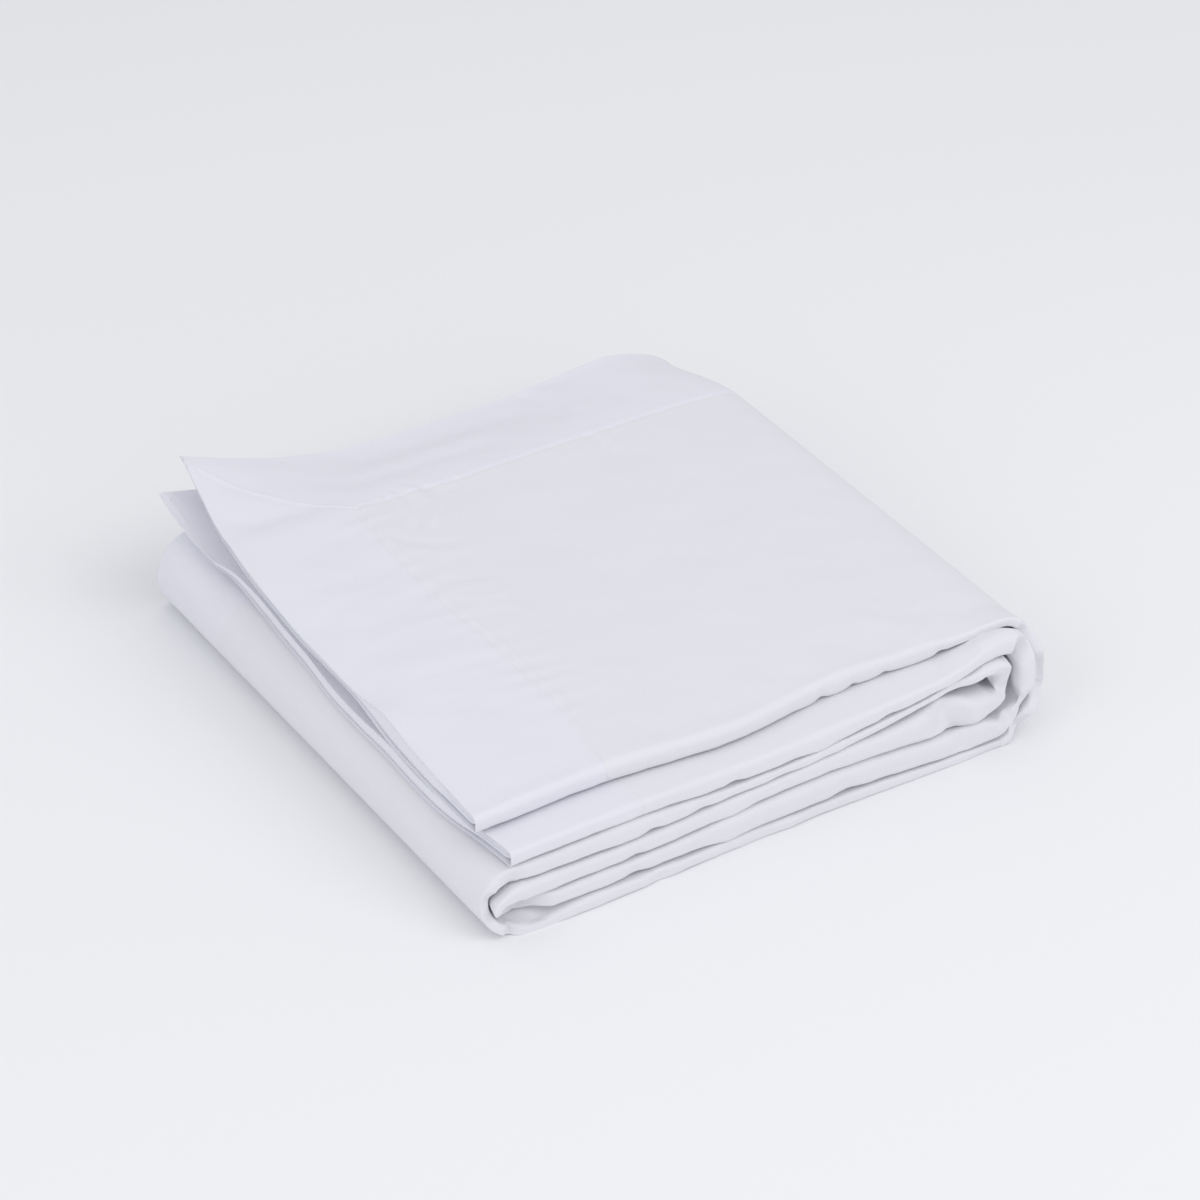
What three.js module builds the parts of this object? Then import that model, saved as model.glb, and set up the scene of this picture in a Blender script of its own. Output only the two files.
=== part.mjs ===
// Folded comforter cover: thin cotton cloth with a wide sewn border, folded flat into a low stack.
// The cloth is folded lengthwise into a strip, two plies that meet in a rounded fold at the front.
// The strip then runs back and forth through six passes, one above the other.
// Units are millimetres. x runs along the front folds, y from the front to the back, z up.
import * as THREE from 'three';

// Driving dimensions
const ply = 1.2;            // thickness of one ply, seams and trapped air included
const clearance = 0.6;      // air between a pass and the border that it shares with its neighbour
const seamGap = 0.3;        // parting between two pieces of cloth that are sewn together
const sideWidth = 76;       // width of the side border
const cornerWidth = 3;      // width of an end border's first ply where its mitre runs out
const levelY = 36;          // depth up to which the stack is as low as its front
const ridgeY = 296;         // depth where the stack is thickest
const droopStart = 300;     // depth where it begins to drop to its back edge
const droopWidth = 72;      // width over which it drops
const noseDepth = 8;        // depth of the rounded front fold of a pass
const freeEndX = 1;         // x of the strip's two free ends
const stationStart = 20;    // x of the first column of the tables below
const stationStep = 70;     // distance between two columns

// Thickness of each pass at the six stations, from left to right. Pass 1 is on top.
const thickness = {
  pass1: [12.5, 13.0, 13.0, 12.0, 10.0, 7.5],
  pass2: [11.0, 10.5, 12.5, 11.0, 7.5, 5.5],
  pass3: [11.0, 12.5, 6.5, 6.0, 4.8, 4.8],
  pass4: [11.0, 11.0, 10.5, 13.0, 19.0, 19.0],
  pass5: [10.5, 10.5, 15.0, 17.0, 14.5, 14.0],
  pass6: [9.5, 8.5, 8.0, 8.0, 6.0, 6.0],
};

// Open height under a pass: the soft hollow inside the innermost turn on the right.
const openUnder = {
  pass3: [0, 0, 0, 0.5, 9, 16],
};

// y of the front fold of each pass at the six stations.
const frontEdge = {
  pass1: [24, 25, 21, 27, 20, 12],
  pass2: [2, 3, 3, 3, 3, 4],
  pass3: [1, 2, 3, 3, 4, 8],
  pass4: [-1, 1, 2, 1.5, 0, 4],
  pass5: [-2, 0, 0, 0.5, 0, 1],
  pass6: [-4, -3, 0.5, 0.5, 0, 3],
};

// y of the back edge of each pass. The seam of the side border lies its width in front of that.
const backEdge = { pass1: 372, pass2: 372, pass3: 361, pass4: 368, pass5: 373, pass6: 377 };

// Width of the end borders on the strip's two free ends, as they lie.
const endWidth = { pass1: 82, pass2: 88 };

// Share by which the stack is thicker at its thickest line, and share that it loses at the back edge.
const backGain = [0.23, 0.22, 0.20, 0.18, 0.13, 0.05];
const backDroop = [0.12, 0.12, 0.12, 0.12, 0.05, 0.10];

// Back left corners that curl up: rise, radius along x, how much shorter the curl is along y,
// and how far the raised corner pulls back from the free end.
const cornerLift = {
  pass1: { rise: 26, reach: 112, squeeze: 1.75, pull: 11 },
  pass2: { rise: 20, reach: 62, squeeze: 1.3, pull: -3 },
};
const pullStart = 318;      // depth at which the free ends begin to pull back
const pullWidth = 50;

// Turns of the strip. side: 1 right, -1 left. apex: x of the outer face at the front and at the back.
// depth: reach of the turn, at the front and at the back. half: half the strip's thickness in the turn.
// power: how square its upper and its lower half are, where 2 is an ellipse.
const turns = {
  outerRight: {
    from: 'pass1', to: 'pass6', side: 1,
    apex: [357, 355], depth: [30, 28], half: 4.0, power: [3.0, 1.7],
  },
  outerLeft: {
    from: 'pass6', to: 'pass3', side: -1,
    apex: [-8, -8], depth: [20, 18], half: 3.8, power: [2.4, 2.6],
  },
  innerRight: {
    from: 'pass3', to: 'pass4', side: 1,
    apex: [336, 333], depth: [20, 18], half: 2.6, power: [2.6, 2.0],
  },
  innerLeft: {
    from: 'pass4', to: 'pass5', side: -1,
    apex: [1, 1], depth: [12, 12], half: 2.4, power: [2.0, 2.0],
  },
  middleRight: {
    from: 'pass5', to: 'pass2', side: 1,
    apex: [347.5, 344.5], depth: [26, 24], half: 3.6, power: [3.0, 1.7],
  },
};
const turnBackY = 372;      // depth at which the second values of apex and depth hold

// The strip's way through the stack. facing is 1 where its first ply looks up, -1 where it looks down.
const route = [
  { pass: 'pass1', facing: 1, steps: 9 },
  { turn: 'outerRight', steps: 12 },
  { pass: 'pass6', facing: -1, steps: 10 },
  { turn: 'outerLeft', steps: 10 },
  { pass: 'pass3', facing: 1, steps: 10 },
  { turn: 'innerRight', steps: 8 },
  { pass: 'pass4', facing: -1, steps: 10 },
  { turn: 'innerLeft', steps: 7 },
  { pass: 'pass5', facing: 1, steps: 10 },
  { turn: 'middleRight', steps: 10 },
  { pass: 'pass2', facing: -1, steps: 9 },
];
const upwards = ['pass6', 'pass5', 'pass4', 'pass3', 'pass2', 'pass1'];

// Number of steps round a front fold, along a mitre and across the border of a second ply
const noseSteps = 5;
const mitreSteps = 4;
const borderSteps = 3;
const innerDepths = [166, levelY + 4];              // where a ply has points in front of the side seam
const endDepths = [270, 220, 166, 100, levelY + 4]; // the same in the end borders

const smooth = (t) => {
  const u = THREE.MathUtils.clamp(t, 0, 1);
  return u * u * (3 - 2 * u);
};
const mix = (a, b, t) => a + (b - a) * t;
const steps = (count, value) => Array.from({ length: count + 1 }, (_, i) => value(i / count));

// Value of a table row at x, on a smooth curve through the stations.
function along(row, x) {
  const last = row.length - 1;
  const t = THREE.MathUtils.clamp((x - stationStart) / stationStep, 0, last - 1e-9);
  const i = Math.floor(t);
  const f = t - i;
  const before = row[Math.max(i - 1, 0)];
  const here = row[i];
  const next = row[Math.min(i + 1, last)];
  const after = row[Math.min(i + 2, last)];
  const bend = 2 * before - 5 * here + 4 * next - after + f * (3 * (here - next) + after - before);
  return here + 0.5 * f * (next - before + f * bend);
}

// Factor on every thickness at a place of the stack: it grows to the thickest line and drops behind it.
function swell(x, y) {
  const rise = THREE.MathUtils.clamp((y - levelY) / (ridgeY - levelY), 0, 1);
  const fall = smooth((y - droopStart) / droopWidth);
  return (1 + along(backGain, x) * rise) * (1 - along(backDroop, x) * fall);
}

function freeEnd(pass, y) {
  const lift = cornerLift[pass];
  return freeEndX + lift.pull * smooth((y - pullStart) / pullWidth);
}

function liftOf(pass, x, y) {
  const lift = cornerLift[pass];
  if (!lift) return 0;
  const r = Math.hypot(Math.max(x - freeEndX, 0), lift.squeeze * (backEdge[pass] - y));
  return lift.rise * (1 - smooth(r / lift.reach));
}

// Height of a pass's middle, and half of its thickness.
function passAt(pass, x, y) {
  const k = swell(x, y);
  let z = 0;
  for (const name of upwards) {
    if (openUnder[name]) z += along(openUnder[name], x) * k;
    const t = along(thickness[name], x) * k;
    if (name === pass) return { z: z + t / 2 + liftOf(pass, x, y), half: t / 2 - clearance };
    z += t;
  }
  return null;
}

// x where a turn starts, and x of its middle line's apex.
function turnReach(turn, y) {
  const f = THREE.MathUtils.clamp(y / turnBackY, 0, 1);
  const apex = mix(turn.apex[0], turn.apex[1], f) - turn.side * turn.half;
  return { apex, start: apex - turn.side * mix(turn.depth[0], turn.depth[1], f) };
}

// x at both ends of a pass on the route, from its neighbours or from the strip's free ends.
function passSpan(index, y, firstX, lastX) {
  const before = route[index - 1];
  const after = route[index + 1];
  return {
    a: before ? turnReach(turns[before.turn], y).start : firstX,
    b: after ? turnReach(turns[after.turn], y).start : lastX,
  };
}

// Middle of the strip in a pass: place, direction across the strip and half thickness.
function inPass(leg, x, y) {
  const { z, half } = passAt(leg.pass, x, y);
  return { x, z, nx: 0, nz: leg.facing, half };
}

// The same in a turn, at f = 0..1 of its way round.
function inTurn(leg, f, y) {
  const turn = turns[leg.turn];
  const { apex, start } = turnReach(turn, y);
  const from = passAt(turn.from, start, y);
  const to = passAt(turn.to, start, y);
  const angle = Math.PI * f;
  const down = Math.sign(from.z - to.z);
  const power = turn.power[Math.cos(angle) * down > 0 ? 0 : 1];
  const sx = Math.abs(Math.sin(angle)) ** (2 / power);
  const cz = Math.sign(Math.cos(angle)) * Math.abs(Math.cos(angle)) ** (2 / power);
  const gx = turn.side * sx ** (power - 1) / Math.abs(apex - start);
  const gz = Math.sign(cz) * down * Math.abs(cz) ** (power - 1) / (Math.abs(from.z - to.z) / 2);
  const length = Math.hypot(gx, gz);
  const sense = turn.side * down;
  return {
    x: start + (apex - start) * sx,
    z: (from.z + to.z) / 2 + (from.z - to.z) / 2 * cz,
    nx: sense * gx / length,
    nz: sense * gz / length,
    half: mix(mix(from.half, to.half, f), turn.half, Math.sin(angle)),
  };
}

// y of the front fold and the back edge at a place of the route.
function edgesAt(index, f, firstX, lastX) {
  const leg = route[index];
  if (leg.pass) {
    const { a, b } = passSpan(index, 0, firstX, lastX);
    return { front: along(frontEdge[leg.pass], mix(a, b, f)), back: backEdge[leg.pass] };
  }
  const turn = turns[leg.turn];
  const { start } = turnReach(turn, 0);
  const w = smooth(f);
  return {
    front: mix(along(frontEdge[turn.from], start), along(frontEdge[turn.to], start), w),
    back: mix(backEdge[turn.from], backEdge[turn.to], w),
  };
}

// Closed section of the folded strip, as a list of { y, inset, share }.
// inset is how far the face lies inside the strip's outer face; share runs from 1, first ply, to -1, second.
function foldedSection(front, depthsFirst, depthsSecond) {
  const noseAngles = steps(noseSteps, (f) => Math.PI * (0.5 - f));
  const face = (inset) => {
    const points = depthsFirst.map((y) => ({ y, inset, share: 1 }));
    for (const angle of noseAngles) {
      const y = front + noseDepth - (noseDepth - inset) * Math.cos(angle);
      points.push({ y, inset, share: Math.sin(angle) });
    }
    return points.concat([...depthsSecond].reverse().map((y) => ({ y, inset, share: -1 })));
  };
  return face(0).concat(face(ply).reverse());
}

// Closed section of a single ply on the strip's first side.
function flatSection(depths) {
  const outside = depths.map((y) => ({ y, inset: 0, share: 1 }));
  const inside = depths.map((y) => ({ y, inset: ply, share: 1 }));
  return outside.concat(inside.reverse());
}

// Closed body through a row of rings. The first half of a ring is the outer face of the cloth, and the
// second half is its inner face in the other direction, so each end is closed by a row of quads.
// Both faces are cut along the same diagonals, so that they stay one ply apart.
function loft(rings) {
  const count = rings[0].length;
  const corners = rings.flat().flatMap((p) => [p.x, p.y, p.z]);
  const faces = [];
  for (let i = 0; i < rings.length - 1; i += 1) {
    for (let j = 0; j < count; j += 1) {
      const a = i * count + j;
      const b = i * count + (j + 1) % count;
      if (j < count / 2) faces.push([a, b, a + count], [b, b + count, a + count]);
      else faces.push([a, b, b + count], [a, b + count, a + count]);
    }
  }
  const end = (rings.length - 1) * count;
  for (let a = 0; a < count / 2 - 1; a += 1) {
    const b = a + 1;
    const c = count - 1 - b;
    const d = count - 1 - a;
    faces.push([b, a, d], [b, d, c]);
    faces.push([end + a, end + b, end + d], [end + b, end + c, end + d]);
  }
  const geometry = new THREE.BufferGeometry();
  geometry.setAttribute('position', new THREE.Float32BufferAttribute(corners, 3));
  geometry.setIndex(faces.flat());
  if (signedVolume(geometry) < 0) geometry.setIndex(faces.map(([a, b, c]) => [c, b, a]).flat());
  geometry.computeVertexNormals();
  return geometry;
}

function signedVolume(geometry) {
  const position = geometry.getAttribute('position');
  const index = geometry.getIndex();
  const corner = (i) => new THREE.Vector3().fromBufferAttribute(position, index.getX(i));
  let total = 0;
  for (let i = 0; i < index.count; i += 3) {
    total += corner(i).dot(corner(i + 1).cross(corner(i + 2)));
  }
  return total / 6;
}

// Ring of points at one place of the strip.
function ringAt(section, middleAt) {
  return section.map(({ y, inset, share }) => {
    const m = middleAt(y);
    const offset = share * (m.half - inset);
    return new THREE.Vector3(m.x + m.nx * offset, y, m.z + m.nz * offset);
  });
}

// Body that follows the whole route. startX and stopX give x of its two ends at a depth y.
function alongRoute(sectionAt, startX, stopX) {
  const rings = [];
  route.forEach((leg, index) => {
    const firstStep = index === 0 ? 0 : 1;
    for (let step = firstStep; step <= leg.steps; step += 1) {
      const f = step / leg.steps;
      const edges = edgesAt(index, f, startX(0), stopX(0));
      const middleAt = (y) => {
        if (leg.turn) return inTurn(leg, f, y);
        const { a, b } = passSpan(index, y, startX(y), stopX(y));
        return inPass(leg, mix(a, b, f), y);
      };
      rings.push(ringAt(sectionAt(edges), middleAt));
    }
  });
  return loft(rings);
}

// Depths of the points of a ply behind the side seam, from the back edge to the seam.
const behindSeam = (back) => steps(borderSteps, (f) => back - f * sideWidth);

// The cover panel: folded all along, open at the back, its first ply cut at the side seam.
function coverPanel() {
  const section = ({ front, back }) => foldedSection(
    front, [back - sideWidth - seamGap, ...innerDepths], [...behindSeam(back), ...innerDepths]);
  const end = (pass) => () => freeEndX + endWidth[pass] + seamGap;
  return alongRoute(section, end('pass1'), end('pass2'));
}

// Depths of the corners along a mitre, from the back edge to the side seam.
function mitreDepths(back) {
  return steps(mitreSteps, (f) => mix(back - cornerWidth, back - sideWidth - seamGap, f));
}

// x of the mitre between an end border and the side border at depth y.
function mitreX(pass, y) {
  const depths = mitreDepths(backEdge[pass]);
  const f = (depths[0] - y) / (depths[0] - depths[mitreSteps]);
  return mix(freeEnd(pass, y), freeEndX + endWidth[pass], f);
}

// The side border: one ply behind the seam, from mitre to mitre.
function sideBorder() {
  const section = ({ back }) => flatSection([back, ...mitreDepths(back).slice(0, -1), back - sideWidth]);
  const start = (pass) => (y) => mitreX(pass, y) + seamGap * Math.SQRT2;
  return alongRoute(section, start('pass1'), start('pass2'));
}

// An end border: folded round the front like the panel, with a mitre to the side border on its first ply.
function endBorder(pass, facing) {
  const seamX = freeEndX + endWidth[pass];
  const back = backEdge[pass];
  const mitre = mitreDepths(back);
  const sectionAt = (f, backOfFirst) => foldedSection(
    along(frontEdge[pass], mix(freeEndX, seamX, f)),
    [...steps(mitreSteps, (g) => mix(backOfFirst, endDepths[0], g)), ...endDepths.slice(1)],
    [...behindSeam(back), ...endDepths]);
  const rings = mitre.map((backOfFirst, i) => {
    const f = i / mitreSteps;
    const middleAt = (y) => inPass({ pass, facing }, mix(freeEnd(pass, y), seamX, f), y);
    return ringAt(sectionAt(f, backOfFirst), middleAt);
  });
  return loft(rings);
}

function cotton(color, roughness) {
  return new THREE.MeshStandardMaterial({ color, roughness, metalness: 0 });
}

function piece(name, geometry, material) {
  const mesh = new THREE.Mesh(geometry, material);
  mesh.name = name;
  return mesh;
}

const stack = new THREE.Group();
stack.add(
  piece('cover_panel', coverPanel(), cotton(0xe7e6ec, 0.9)),
  piece('side_border', sideBorder(), cotton(0xe4e4ef, 0.8)),
  piece('upper_end_border', endBorder('pass1', 1), cotton(0xe4e4ef, 0.8)),
  piece('lower_end_border', endBorder('pass2', -1), cotton(0xe4e4ef, 0.8)),
);

// The origin is the middle of the footprint, on the floor.
const box = new THREE.Box3().setFromObject(stack);
const middle = box.getCenter(new THREE.Vector3());
stack.position.set(-middle.x, -middle.y, -box.min.z);

const part = new THREE.Group();
part.add(stack);

export default part;
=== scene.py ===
"""Folded comforter cover: the cloth's fine surface, its seams and its look.

The stack is measured in millimetres. x runs along the front folds from the left, y from the front
folds to the free back edges, z up from the floor. A strip of cloth, two plies joined by a fold at the
front, runs through eleven legs: six passes, one above the other, and five turns between them. The
passes are numbered from the top. A place on the strip is a leg and f, the share of the way along it.
"""
import math
import bpy
import numpy as np
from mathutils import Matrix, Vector


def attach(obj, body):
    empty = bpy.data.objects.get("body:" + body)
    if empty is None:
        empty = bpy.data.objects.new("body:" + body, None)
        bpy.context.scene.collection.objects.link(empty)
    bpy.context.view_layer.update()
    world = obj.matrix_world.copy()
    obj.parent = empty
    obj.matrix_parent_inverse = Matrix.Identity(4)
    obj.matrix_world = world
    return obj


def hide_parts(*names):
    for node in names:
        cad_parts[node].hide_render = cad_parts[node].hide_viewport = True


MM = 0.001
ORIGIN = np.array([174.454, 186.696, 0.600])    # place of the frame's origin in the stack

# Stations of the tables below: x of the first column and the distance between columns
STATION_START = 20.0
STATION_STEP = 70.0

# Thickness of each pass at its front, and height of the hollow under it
THICKNESS = {
    1: (12.5, 13, 13, 12, 10, 7.5),
    2: (11, 10.5, 12.5, 11, 7.5, 5.5),
    3: (11, 12.5, 6.5, 6, 4.8, 4.8),
    4: (11, 11, 10.5, 13, 19, 19),
    5: (10.5, 10.5, 15, 17, 14.5, 14),
    6: (9.5, 8.5, 8, 8, 6, 6),
}
OPEN_UNDER = {3: (0, 0, 0, 0.5, 9, 16)}
# y of each pass's front fold and of its back edge
FRONT_EDGE = {
    1: (24, 25, 21, 27, 20, 12),
    2: (2, 3, 3, 3, 3, 4),
    3: (1, 2, 3, 3, 4, 8),
    4: (-1, 1, 2, 1.5, 0, 4),
    5: (-2, 0, 0, 0.5, 0, 1),
    6: (-4, -3, 0.5, 0.5, 0, 3),
}
BACK_EDGE = {1: 372, 2: 372, 3: 361, 4: 368, 5: 373, 6: 377}
END_WIDTH = {1: 82, 2: 88}      # of the borders on the free ends of passes 1 and 2
# Share that the stack gains in height up to its ridge, and share that it loses again behind it
BACK_GAIN = (0.23, 0.22, 0.20, 0.18, 0.13, 0.05)
BACK_DROOP = (0.12, 0.12, 0.12, 0.12, 0.05, 0.10)

LEVEL_Y = 36.0      # the gain starts here and is whole at the ridge
RIDGE_Y = 296.0
DROOP_START = 300.0     # the loss starts here and is whole one width behind
DROOP_WIDTH = 72.0
SIDE_WIDTH = 76.0   # of the border along the back
CORNER_WIDTH = 3.0  # the mitre starts this far in front of the back edge
FREE_END_X = 1.0    # of the line from which the borders' widths at the free ends run
TURN_BACK_Y = 372.0     # a turn has one value at y = 0 and one here for its apex and its depth
AIR = 0.65          # the cloth lies this much inside its pass
FOLD_DEPTH = 0.95   # depth of the rounded front fold, over half of the strip's thickness
UPPER_POWER = 3.0   # how square its upper half is, where 2 is round
TOP_POWER = 2.3     # the same on the topmost fold
LOWER_POWER = 4.5   # how square its lower half is

# The free ends at stations from the front to the back: x of the edge, how far its upper ply sinks and
# how far its lower ply is raised
END_STEP = 30.0
FREE_ENDS = {
    1: {"x": (1.5, 1, 1, 1.5, 2.5, 1.5, 1, 0.7, 1, 1.7, 4.4, 8.2, 11.4, 12),
        "drop": (2, 1.5, 1, 1, 0, 3.8, 3.8, 4.3, 2.8, 1.2, 0.5, 0, 0, 0),
        "rise": (0, -0.4, -1.6, -2.6, -2.6, 4.6, 5.4, 5, 7, 9, 10.8, 12, 12.4, 12.4)},
    2: {"x": (9, 6.5, 2.5, 1.5, 2, 1.2, 1.5, 4, 5.2, 6.5, 5.5, 0.5, -2, -2),
        "drop": (0.5, 1.2, 1.8, 2.1, 2.1, 3.3, 3.1, 3.2, 3, 2.5, 2.5, 4, 4, 4),
        "rise": (0, -0.5, -1.8, -2.2, -2.2, -2.2, -2.2, -2.2, -1.8, -0.5, 4, 6, 6.2, 6.2)},
}
PRESS_REACH = 36.0      # from the edge, over which both fade out
LEAST_THICKNESS = 1.6   # of a pass where it is pressed

# The lifted back corner at the free ends: its height, its reach along x, how much shorter that is
# along y, and how steeply it bends up
CORNER_LIFT = {
    1: {"rise": 33, "reach": 118, "squeeze": 1.79, "power": 1.6},
    2: {"rise": 25.5, "reach": 72, "squeeze": 1.3, "power": 1.1},
    3: {"rise": 14, "reach": 70, "squeeze": 1.3, "power": 1.2},
}
# The turns: the passes that each joins, its side, x of its outermost cloth and how far it reaches in
# from there, both at the front and at the back, half of its thickness, how square its upper and its
# lower half are, and what depth and upper squareness gain where the border sags round it
TURNS = {
    "outer_right": {"ends": (1, 6), "side": 1, "apex": (357, 355), "depth": (30, 28),
                    "half": 4, "power": (3, 1.7), "slack": (27, -1)},
    "outer_left": {"ends": (6, 3), "side": -1, "apex": (-8, -8), "depth": (20, 18),
                   "half": 2.6, "power": (2.4, 2.6)},
    "inner_right": {"ends": (3, 4), "side": 1, "apex": (336, 333), "depth": (20, 18),
                    "half": 2.6, "power": (2.6, 2)},
    "inner_left": {"ends": (4, 5), "side": -1, "apex": (1, 1), "depth": (12, 12),
                   "half": 2.4, "power": (2, 2)},
    "middle_right": {"ends": (5, 2), "side": 1, "apex": (347.5, 344.5), "depth": (26, 24),
                     "half": 4.2, "power": (3, 1.7)},
}
# The strip's way: a pass with its number and 1 where its first ply is the upper one, or -1 where that
# is the lower one, and a turn with its name
ROUTE = (
    ("pass", 1, 1), ("turn", "outer_right", 0), ("pass", 6, -1), ("turn", "outer_left", 0),
    ("pass", 3, 1), ("turn", "inner_right", 0), ("pass", 4, -1), ("turn", "inner_left", 0),
    ("pass", 5, 1), ("turn", "middle_right", 0), ("pass", 2, -1),
)
LAST_LEG = len(ROUTE) - 1
FREE_LEGS = {0: 1, LAST_LEG: 2}     # the legs that end free, with their passes
UPWARDS = (6, 5, 4, 3, 2, 1)        # the passes from the floor up


def smooth(t):
    """0 up to t = 0, 1 from t = 1 on, and a soft step between them."""
    t = np.clip(t, 0.0, 1.0)
    return t * t * (3.0 - 2.0 * t)


def mix(a, b, t):
    """a at t = 0, b at t = 1, and straight between them."""
    return a + (b - a) * t


def between(t, start, rise, end, fall):
    """1 from start to end and 0 outside, with soft steps inside that are rise and fall long."""
    return smooth((t - start) / rise) * smooth((end - t) / fall)


def constant(value):
    """A function that gives the value at every place."""
    return lambda _: value


def along(row, x):
    """Value of a table row at x, on a smooth curve through the stations."""
    row = np.asarray(row, float)
    last = len(row) - 1
    t = np.clip((np.asarray(x, float) - STATION_START) / STATION_STEP, 0.0, last - 1e-9)
    i = np.floor(t).astype(int)
    f = t - i
    before = row[np.maximum(i - 1, 0)]
    here = row[i]
    after = row[np.minimum(i + 1, last)]
    later = row[np.minimum(i + 2, last)]
    bend = 2.0 * before - 5.0 * here + 4.0 * after - later + f * (3.0 * (here - after) + later - before)
    return here + 0.5 * f * (after - before + f * bend)


def swell(x, y):
    """How many times thicker the stack is than at its front."""
    rise = np.clip((y - LEVEL_Y) / (RIDGE_Y - LEVEL_Y), 0.0, 1.0)
    fall = smooth((y - DROOP_START) / DROOP_WIDTH)
    return (1.0 + along(BACK_GAIN, x) * rise) * (1.0 - along(BACK_DROOP, x) * fall)


def free_end(number, y):
    """x of a free end."""
    return along_end(number, "x", y)


def along_end(number, name, y):
    """Value of a free end's table row at y."""
    return along(FREE_ENDS[number][name], STATION_START + y * STATION_STEP / END_STEP)


def mitre_share(number, y):
    """How far along the mitre a depth lies: 0 at the corner, 1 at the side seam."""
    back = BACK_EDGE[number]
    return np.clip((back - CORNER_WIDTH - y) / (SIDE_WIDTH - CORNER_WIDTH), 0.0, 1.0)


def mitre_x(number, y):
    """x of the mitre's seam, from the free end at its corner to the end of the side seam."""
    return mix(free_end(number, y), FREE_END_X + END_WIDTH[number], mitre_share(number, y))


def pressed(number, x, y):
    """How far a pass's upper ply sinks and its lower ply is raised near its free end."""
    if number not in FREE_ENDS:
        return 0.0, 0.0
    near = smooth(1.0 - (x - free_end(number, y)) / PRESS_REACH)
    return along_end(number, "drop", y) * near, along_end(number, "rise", y) * near


def lift_of(number, x, y):
    """How far a pass is lifted at its free back corner."""
    if number not in CORNER_LIFT:
        return 0.0
    lift = CORNER_LIFT[number]
    r = np.hypot(np.maximum(x - FREE_END_X, 0.0), lift["squeeze"] * (BACK_EDGE[number] - y))
    return lift["rise"] * np.clip(1.0 - r / lift["reach"], 0.0, 1.0) ** lift["power"]


def pass_at(number, x, y):
    """Height of a pass's middle, and half of its thickness."""
    k = swell(x, y)
    top = 0.0
    for name in UPWARDS:
        if name in OPEN_UNDER:
            top = top + along(OPEN_UNDER[name], x) * k
        loose = along(THICKNESS[name], x) * k
        top = top + loose
        if name == number:
            drop, rise = pressed(number, x, y)
            half = np.maximum(loose - drop - rise, LEAST_THICKNESS) / 2.0
            return top - drop - half + lift_of(number, x, y), half - AIR
    raise ValueError(number)


def slack_at(turn, y):
    """Depth and squareness that a turn gains where the border behind the seam sags round it."""
    depth, power = turn.get("slack", (0.0, 0.0))
    w = smooth((y - RIDGE_Y) / SIDE_WIDTH)
    return depth * w, power * w


def turn_reach(turn, y):
    """x of the middle of a turn's cloth at its apex, and x at which the turn starts."""
    f = np.clip(y / TURN_BACK_Y, 0.0, 1.0)
    apex = mix(turn["apex"][0], turn["apex"][1], f) - turn["side"] * turn["half"]
    depth = mix(turn["depth"][0], turn["depth"][1], f) + slack_at(turn, y)[0]
    return apex, apex - turn["side"] * depth


def in_pass(leg, f, y, first_x, last_x):
    """Middle of the strip in a pass: x, z, direction across the strip and half thickness."""
    _, number, facing = ROUTE[leg]
    a = first_x if leg == 0 else turn_reach(TURNS[ROUTE[leg - 1][1]], y)[1]
    b = last_x if leg == LAST_LEG else turn_reach(TURNS[ROUTE[leg + 1][1]], y)[1]
    x = mix(a, b, f)
    z, half = pass_at(number, x, y)
    return x, z, np.zeros_like(x), facing + np.zeros_like(x), half


def in_turn(leg, f, y):
    """The same in a turn: half of an ellipse, squared above and below by its powers."""
    turn = TURNS[ROUTE[leg][1]]
    apex, start = turn_reach(turn, y)
    z_from, half_from = pass_at(turn["ends"][0], start, y)
    z_to, half_to = pass_at(turn["ends"][1], start, y)
    angle = math.pi * f
    down = np.sign(z_from - z_to)
    power = np.where(np.cos(angle) * down > 0.0, turn["power"][0] + slack_at(turn, y)[1], turn["power"][1])
    sx = np.abs(np.sin(angle)) ** (2.0 / power)
    cz = np.sign(np.cos(angle)) * np.abs(np.cos(angle)) ** (2.0 / power)
    gx = turn["side"] * sx ** (power - 1.0) / np.abs(apex - start)
    gz = np.sign(cz) * down * np.abs(cz) ** (power - 1.0) / (np.abs(z_from - z_to) / 2.0)
    length = np.hypot(gx, gz)
    sense = turn["side"] * down
    half = mix(mix(half_from, half_to, f), turn["half"], np.sin(angle))
    x = start + (apex - start) * sx
    z = (z_from + z_to) / 2.0 + (z_from - z_to) / 2.0 * cz
    return x, z, sense * gx / length, sense * gz / length, half


def middle(leg, f, y, first_x, last_x):
    """The same in any leg. The x of the strip's first and last end are functions of y."""
    if ROUTE[leg][0] == "pass":
        return in_pass(leg, f, y, first_x(y), last_x(y))
    return in_turn(leg, f, y)


def edges_at(leg, f, first_x, last_x):
    """y of the front fold and of the back edge at a place of the route."""
    kind, name, _ = ROUTE[leg]
    zero = np.zeros_like(f)
    if kind == "pass":
        x = in_pass(leg, f, zero, first_x + zero, last_x + zero)[0]
        return along(FRONT_EDGE[name], x), BACK_EDGE[name] + zero
    turn = TURNS[name]
    start = turn_reach(turn, zero)[1]
    a, b = turn["ends"]
    w = smooth(f)
    front = mix(along(FRONT_EDGE[a], start), along(FRONT_EDGE[b], start), w)
    return front, mix(BACK_EDGE[a], BACK_EDGE[b], w)


# The section of the folded strip: a row of columns (zone, t). Zone 0 is the first ply from its back to
# the front fold, zone 1 the fold, zone 2 the second ply from the fold to its back.
FIRST_PLY, FOLD, SECOND_PLY = 0, 1, 2
QUARTER_SHARE = 0.85    # way round a quarter of the fold, over the sum of its two half axes


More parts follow.
